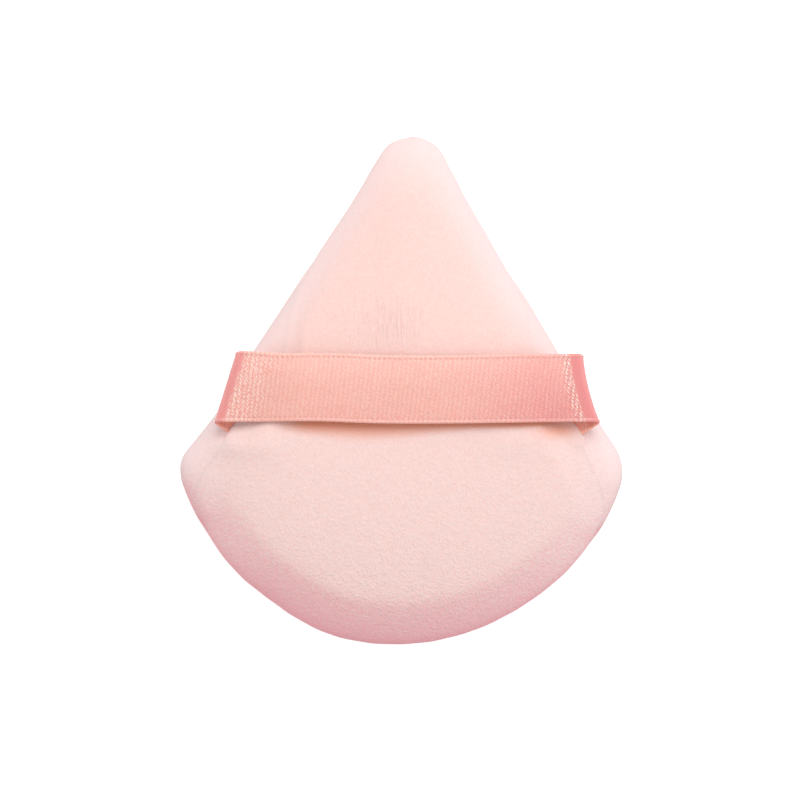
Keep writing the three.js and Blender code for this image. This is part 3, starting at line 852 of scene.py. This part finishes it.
def panel_rows(side):
    """One velour panel as rows round the pad: its face from the middle to the seam, evenly along the pad's
    section, then the lip turned in at the seam, and the inside of the cloth back to the middle."""
    place = PANEL_PLACES[None, :]
    opening = CLOSED_SEAM + (RIBBON_THICKNESS + RIBBON_ROOM) * at_ribbon(place, MOUTH_FADE, MOUTH_FADE)
    edge = along_profile(seam_angle(place)) + side * opening / 2
    share = 1 - (1 - np.linspace(FACE_START, 1, OUTER_ROWS)[:, None]) ** ROW_POWER
    face = stuffed(place, half_angle(side, share, edge), 0.0, side)
    face += blended(skin_moves[side], share, place)
    face[..., 2] = np.maximum(face[..., 2], 0)
    lip_depth = np.linspace(0, LIP, LIP_ROWS + 1)[1:, None]
    lip = stuffed(place, angle_along(edge) + 0 * lip_depth, lip_depth, side)
    turned = edge + side * CLOTH
    back_depth = np.array([LIP, CLOTH])[:, None]
    back = stuffed(place, angle_along(turned) + 0 * back_depth, back_depth, side)
    inner_share = np.linspace(1, INSIDE_START, INNER_ROWS)[1:, None]
    inside = stuffed(place, half_angle(side, inner_share, turned), CLOTH, side)
    inside += blended(skin_moves[side], inner_share, place)
    return np.concatenate([face, lip, back, inside])


skin_moves = blown_skin()


def swollen(points, side):
    """The settled cover with its swellings: each lifts it by a bell over a place, growing up the shoulder.
    The powder panel stays down where the ribbon comes out over it."""
    raised = points.copy()
    shoulder = smoothstep(points[..., 2] * METRE, *SWELL_HEIGHTS)
    if side < 0:
        shoulder *= 1 - at_ribbon(PANEL_PLACES, MOUTH_FADE)
    for *place, height in SWELLS:
        raised[..., 2] += height / METRE * bell_over(points, *place) * shoulder
    return raised


def ribbon_shadow_mark(points, normal):
    """A painted orange shadow of the ribbon: a band below the strap's lower edge, longer by a bell along X,
    fainter under the strap and fading to both sides, and a spot at the right mouth."""
    x = points[..., 0] * METRE
    y = points[..., 1] * METRE
    below = (STRAP_PLACE - RIBBON_WIDTH / 2 - form_shift[1]) - y
    above = y - (STRAP_PLACE + RIBBON_WIDTH / 2 - form_shift[1])
    longer = RIBBON_SHADOW_LONGER * bell((x - RIBBON_SHADOW_LONGEST_X) / RIBBON_SHADOW_REACH)
    ribbon_shadow = 1 - smoothstep(below, RIBBON_SHADOW_BELOW[0], RIBBON_SHADOW_BELOW[1] + longer)
    ribbon_shadow *= RIBBON_SHADOW_UNDER + (1 - RIBBON_SHADOW_UNDER) * smoothstep(below, *RIBBON_SHADOW_UNDER_FADE)
    ribbon_shadow *= (1 - smoothstep(above, *RIBBON_SHADOW_UPPER_FADE)) * band(x, *RIBBON_SHADOW_SIDES)
    spot = RIBBON_SHADOW_SPOT_SHARE * bell_over(points, *RIBBON_SHADOW_SPOT)
    return np.maximum(ribbon_shadow, spot) * (normal[..., 2] > RIBBON_SHADOW_FACING)


def velour_panel(name, side):
    """One panel of the cover. It is marked where the strap has crushed it, where the ribbon's orange shadow
    is painted, where a sheen is painted round the rim, and where it turns toward the base and the left,
    away from the lights, so that a deeper pink is painted there as shade."""
    rows = settled(panel_rows(side))
    height = rows[..., 2] * METRE - PAD_THICKNESS / 2
    crushed = bell_over(rows, *CRUSHED) * (height > 0)
    round_step = np.roll(rows, -1, axis=1) - np.roll(rows, 1, axis=1)
    normal = side * np.cross(np.gradient(rows, axis=0), round_step)
    normal /= np.linalg.norm(normal, axis=-1, keepdims=True) + TINY
    # Painted shade on faces turned away from the lights, toward the base and the left.
    away_from_light = smoothstep(AWAY_LEFT_SHARE * np.maximum(-normal[..., 0], 0) - normal[..., 1], *AWAY_SLOPES)
    away_from_light[OUTER_ROWS:] = 0
    # Painted sheen round the rim, strongest on faces turned toward the tip.
    pale = RIM_SHEEN_SHARE * (1 - smoothstep(np.abs(height), *RIM_SHEEN_HEIGHTS))
    pale *= smoothstep(normal[..., 1], *RIM_SHEEN_SLOPES)
    # Painted orange shadow of the ribbon.
    ribbon_shadow = ribbon_shadow_mark(rows, normal)
    marks = {"crushed": crushed, "painted_shade_away_from_light": away_from_light, "pale": pale, "ribbon_shadow": ribbon_shadow}
    return closed_surface(name, swollen(rows, side), marks)


def sponge_filling():
    """The sponge inside: the pad's form well below the cloth, with a groove all round for the seam, whose
    section is the exponential of minus a fourth power."""
    place = np.linspace(0, perimeter, SPONGE_AROUND, endpoint=False)[None, :]
    length = np.linspace(*SPONGE_ENDS, SPONGE_ROWS)[:, None] * PROFILE_LENGTHS[-1]
    angle = angle_along(length) + 0 * place
    groove = GROOVE * np.exp(-(((angle - seam_angle(place)) / GROOVE_ANGLE) ** 4))
    depth = CLOTH + SPONGE_FIT + groove
    return closed_surface("sponge_filling", settled(pad_form(place, angle, depth, draw=0.0)))


# The ribbon strap

# The grid: rows along the strap and along a tail, points across, and how they crowd toward the edges.
ALONG_ROWS = 620
TAIL_ROWS = 24
ACROSS_POINTS = 52
CROWDING = 0.35
# The folds: their radius, how steeply the span comes down to them, and how far out they reach.
SOFT_FOLD = 1.05
END_TILT = np.radians(14)
FOLD_RIGHT = 27.36
FOLD_LEFT = 26.1
# The span's soft forms. Places and reaches are shares of the way from its middle to a fold.
BOW = 0.25
WAVE = 0.25
WAVE_PLACE = -0.5
WAVE_REACH = 0.25
FLARE = 0.4
FLARE_FROM = 0.7
CUP = 0.35
CUP_POWER = 6
SAG_LEFT = 1.0
SAG_RIGHT = 0.6
SAG_PLACE = 0.8
SAG_REACH = 0.13
HOLLOW_RIGHT = 0.4
HOLLOW_RUN = 9
# The woven edges: their rounding, the cord along them and the ties inside it.
EDGE_ROUND = 0.25
CORD_INSET = 0.26
CORD_WIDTH = 0.2
CORD_RISE = 0.08
TIE_PITCH = 0.75
TIE_INSET = 0.62
TIE_WIDTH = 0.12
TIE_DEPTH = 0.06
# Painted marks by the length past the start of a fold, for glint, fold shade and bounce light under it:
# # between which lengths each begins, ends or both, and its share where it is not full. The painted shade
# on
# # the right also grows toward the base side.
RIGHT_GLINT = ((-2.9, -1.8), (-1.2, -0.9))
LEFT_GLINT = ((-8.0, -1.0), (-0.5, -0.2))
LEFT_GLINT_SHARE = 0.7
RIGHT_TURN = (-1.25, -0.85)
LEFT_TURN = (-1.0, 0.1)
LEFT_TURN_SHARE = 0.85
SMOOTH_ENDS = (2.0, 3.5)
SMOOTH_SHARE = 0.35
SHADE = (-22.0, -4.0)
SHADE_SHARE = 0.8
SHADE_MIDDLE = 0.7
SHADE_SLANT = 0.3
UNDER = (1.5, 2.5)
# The strap is cut from its tails so far inside the mouths.
SEAM_CUT = 0.3

fold_along = np.array([-np.sin(half_slant), np.cos(half_slant), 0])
fold_across = np.array([np.cos(half_slant), np.sin(half_slant), 0])
wrap = SOFT_FOLD * (np.pi - END_TILT)
level_z = strap_z - 2 * FOLD_RADIUS
end_z = level_z + SOFT_FOLD * (1 + np.cos(END_TILT))
arch_rise = strap_z + STRAP_ARCH - end_z


def fold_start(reach):
    """Where the ribbon's middle strand leaves the fold below, for a fold that reaches out so far."""
    half_round = SOFT_FOLD * np.pi / 2
    x = reach + half_round * np.tan(half_slant) * np.sin(half_slant) - SOFT_FOLD * np.cos(half_slant)
    y = STRAP_PLACE - (wrap + SOFT_FOLD * np.sin(END_TILT)) * np.sin(half_slant)
    return np.array([x, y, level_z])


def half_strap(fold, run, beyond, strand):
    """The right half of a ribbon, by the length beyond the fold's lower edge at its middle strand and by
    the strand across it. The ribbon comes down to the fold at the end tilt, goes round a cylinder at half
    the slant of the side, lies flat below, bends down into the pad and goes straight into the seam. Its
    length and width are hardly stretched."""
    gone = wrap + beyond * np.cos(half_slant) + strand * np.sin(half_slant)
    turned = END_TILT + np.clip(gone, 0, wrap) / SOFT_FOLD
    across = np.minimum(gone, 0) + SOFT_FOLD * np.sin(turned)
    along = strand / np.cos(half_slant) + (wrap - np.minimum(gone, wrap)) * np.tan(half_slant)
    below = np.maximum(beyond + strand * np.tan(half_slant), 0)
    level = run - bend_run + strand * np.tan(half_slant)
    bent = np.clip(below - level, 0, FOLD_RADIUS * exit_tilt) / FOLD_RADIUS
    straight = np.maximum(below - level - FOLD_RADIUS * exit_tilt, 0)
    back = np.minimum(below, level) + FOLD_RADIUS * np.sin(bent) + straight * np.cos(exit_tilt)
    round_fold = SOFT_FOLD * (np.cos(END_TILT) - np.cos(turned))
    drop = round_fold + FOLD_RADIUS * (1 - np.cos(bent)) + straight * np.sin(exit_tilt)
    points = fold + along[..., None] * fold_along + across[..., None] * fold_across
    points -= back[..., None] * side_out
    points[..., 2] = end_z - drop
    return points


right_fold = fold_start(FOLD_RIGHT)
left_fold = fold_start(FOLD_LEFT)
right_fold_run = np.dot(right_fold - right_seam, side_out)
left_fold_run = np.dot(left_fold - left_seam, side_out)
tilt_run = SOFT_FOLD * np.sin(END_TILT) * np.cos(half_slant)
span_end = tilt_run - wrap * np.tan(half_slant) * np.sin(half_slant)
right_reach = right_fold[0] + span_end + wrap / np.cos(half_slant)
left_reach = left_fold[0] + span_end + wrap / np.cos(half_slant)
mouth_past = FOLD_RADIUS * exit_tilt + MOUTH - bend_run
right_mouth = right_reach + right_fold_run + mouth_past
left_mouth = left_reach + left_fold_run + mouth_past


def fold_starts(strand):
    """Where the span meets the right and left folds, along each strand of the flat ribbon."""
    cut = (wrap + strand * np.sin(half_slant)) / np.cos(half_slant)
    return right_reach - cut, cut - left_reach


def strap_middle(along, strand):
    """The ribbon's middle surface by the place along and across the flat ribbon. The span rises between the
    folds by one less a power of the distance from its middle, as steep at its ends as the folds begin, bows
    toward the base by the square of a parabola, waves back toward the tip by a bell left of its middle and
    cups downward by the square of the distance across it. Its upper edge flares at the left fold, its
    lower edge sags by a bell beside each fold, and the right fold is a little hollow."""
    right = half_strap(right_fold, right_fold_run, along - right_reach, strand)
    left = half_strap(left_fold, left_fold_run, -along - left_reach, strand)
    points = np.where((along > 0)[..., None], right, left * np.array([-1, 1, 1]))
    high, low = fold_starts(strand)
    off_middle = np.clip((2 * along - high - low) / (high - low), -1, 1)
    power = np.tan(END_TILT) * (high - low) / 2 / arch_rise
    points[..., 2] += arch_rise * (1 - np.abs(off_middle) ** power)
    points[..., 1] -= BOW * (1 - off_middle**2) ** 2
    points[..., 1] += WAVE * bell((off_middle - WAVE_PLACE) / WAVE_REACH)
    points[..., 1] += FLARE * (0.5 + strand / RIBBON_WIDTH) * smoothstep(-off_middle, FLARE_FROM, 1)
    off_strand = strand / (RIBBON_WIDTH / 2)
    points[..., 2] -= CUP * off_strand**2 * (1 - off_middle**CUP_POWER)
    sag = np.where(along > 0, SAG_RIGHT, SAG_LEFT) * (0.5 - strand / RIBBON_WIDTH)
    points[..., 2] -= sag * bell((np.abs(off_middle) - SAG_PLACE) / SAG_REACH)
    hollow = HOLLOW_RIGHT * (1 - off_strand**2)
    points[..., 0] -= hollow * smoothstep(along, high - HOLLOW_RUN, high)
    return points


def fold_marks(along, strand):
    """Painted marks on the ribbon by its folds: a painted glint where it turns down, painted shade where it
    turns round the fold, with a shade that grows toward the right fold, and painted bounce light where its
    turned side shows."""
    high, low = fold_starts(strand)
    past = np.maximum(along - high, low - along)
    right = along > 0
    # Painted shade round the folds, painted glints where the ribbon turns down, and painted bounce light on
    # the side turned under.
    turned = np.where(right, smoothstep(past, *RIGHT_TURN), smoothstep(past, *LEFT_TURN))
    glint = np.where(right, band(past, *RIGHT_GLINT), LEFT_GLINT_SHARE * band(past, *LEFT_GLINT))
    glint -= SMOOTH_SHARE * turned * (1 - smoothstep(past, *SMOOTH_ENDS))
    slanted = SHADE_MIDDLE - SHADE_SLANT * strand / (RIBBON_WIDTH / 2)
    shaded = SHADE_SHARE * smoothstep(past, *SHADE) * slanted * right
    fold_shade = np.maximum(shaded, np.where(right, 1, LEFT_TURN_SHARE) * turned)
    return {"glint": glint, "fold_shade": fold_shade, "under": smoothstep(past, *UNDER)}


def strap_surface(name, first, last, rows):
    """The ribbon between two places along it: upper and lower face stand half the thickness off the middle
    surface, along its normal. The thickness rounds off at the edges, a cord is raised along each edge, and
    a row of small dips lies inside the cord where the edge is tied in."""
    spread = np.linspace(-1, 1, ACROSS_POINTS)
    edge = RIBBON_WIDTH / 2
    strand = edge * ((1 + CROWDING) * spread - CROWDING * spread**3)
    along, across = np.meshgrid(np.linspace(first, last, rows), strand, indexing="ij")
    middle_points = leaned(strap_middle(along, across))
    step_along = np.gradient(middle_points, axis=0)
    step_across = np.gradient(middle_points, axis=1)
    normal = np.cross(step_along, step_across)
    normal /= np.linalg.norm(normal, axis=-1, keepdims=True)
    inset = edge - np.abs(across)
    rounded = np.sqrt(1 - np.clip(1 - inset / EDGE_ROUND, 0, 1) ** 2)
    cord = bell((inset - CORD_INSET) / CORD_WIDTH)
    pulse = (0.5 + 0.5 * np.cos(2 * np.pi * along / TIE_PITCH)) ** 2
    ties = pulse * bell((inset - TIE_INSET) / TIE_WIDTH)
    half = RIBBON_THICKNESS / 2 * rounded + CORD_RISE * cord * rounded - TIE_DEPTH * ties
    shift = normal * half[..., None]
    marks = {"cord": cord, "ties": ties, **fold_marks(along, across)}
    marks = {key: np.concatenate([value, value[:, ::-1]], axis=1) for key, value in marks.items()}
    rings = np.concatenate([middle_points + shift, (middle_points - shift)[:, ::-1]], axis=1)
    flat = np.stack([along, across], axis=-1)
    flat = np.concatenate([flat, flat[:, ::-1]], axis=1)
    return closed_surface(name, (rings - form_shift) / METRE, marks, flat)


# Making the puff

# How tightly the cover and the sponge are filled, from nought, slack, to one. The loop below passes over
# them, but nothing uses them.
COVER_FILL = 0.85
SPONGE_FILL = 0.9


def dressed(piece, material, slot, *nodes):
    """Gives a piece its finish, and hides the solids that it stands for."""
    piece.data.materials.append(material)
    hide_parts(*nodes)
    return piece


photo_camera()
studio()

velour = peach_velour()
satin = salmon_satin()
cotton = pink_cotton()

upper = dressed(velour_panel("upper_panel", 1), velour, "velour", "top_cover")
powder = dressed(velour_panel("powder_panel", -1), velour, "velour", "bottom_cover")
filling = dressed(sponge_filling(), cream_sponge(), "sponge", "foam_core")
for piece, fill in ((upper, COVER_FILL), (powder, COVER_FILL), (filling, SPONGE_FILL)):
    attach(piece, "pad")

left_cut = -left_mouth - SEAM_CUT
right_cut = right_mouth + SEAM_CUT
strap = strap_surface("ribbon_strap", left_cut, right_cut, ALONG_ROWS)
dressed(strap, satin, "satin_ribbon", "strap_span", "strap_loop_left", "strap_loop_right")
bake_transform(strap)

for name, node_name, first, last in (
    ("ribbon_tail_left", "strap_tail_left", -left_mouth - RIBBON_TAIL, left_cut),
    ("ribbon_tail_right", "strap_tail_right", right_cut, right_mouth + RIBBON_TAIL),
):
    tail = dressed(strap_surface(name, first, last, TAIL_ROWS), satin, "satin_ribbon", node_name)
    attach(tail, "pad")

for name in ("needle_thread", "upper_looper_thread", "lower_looper_thread", "closing_thread"):
    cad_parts[name].data.materials.clear()
    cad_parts[name].data.materials.append(cotton)
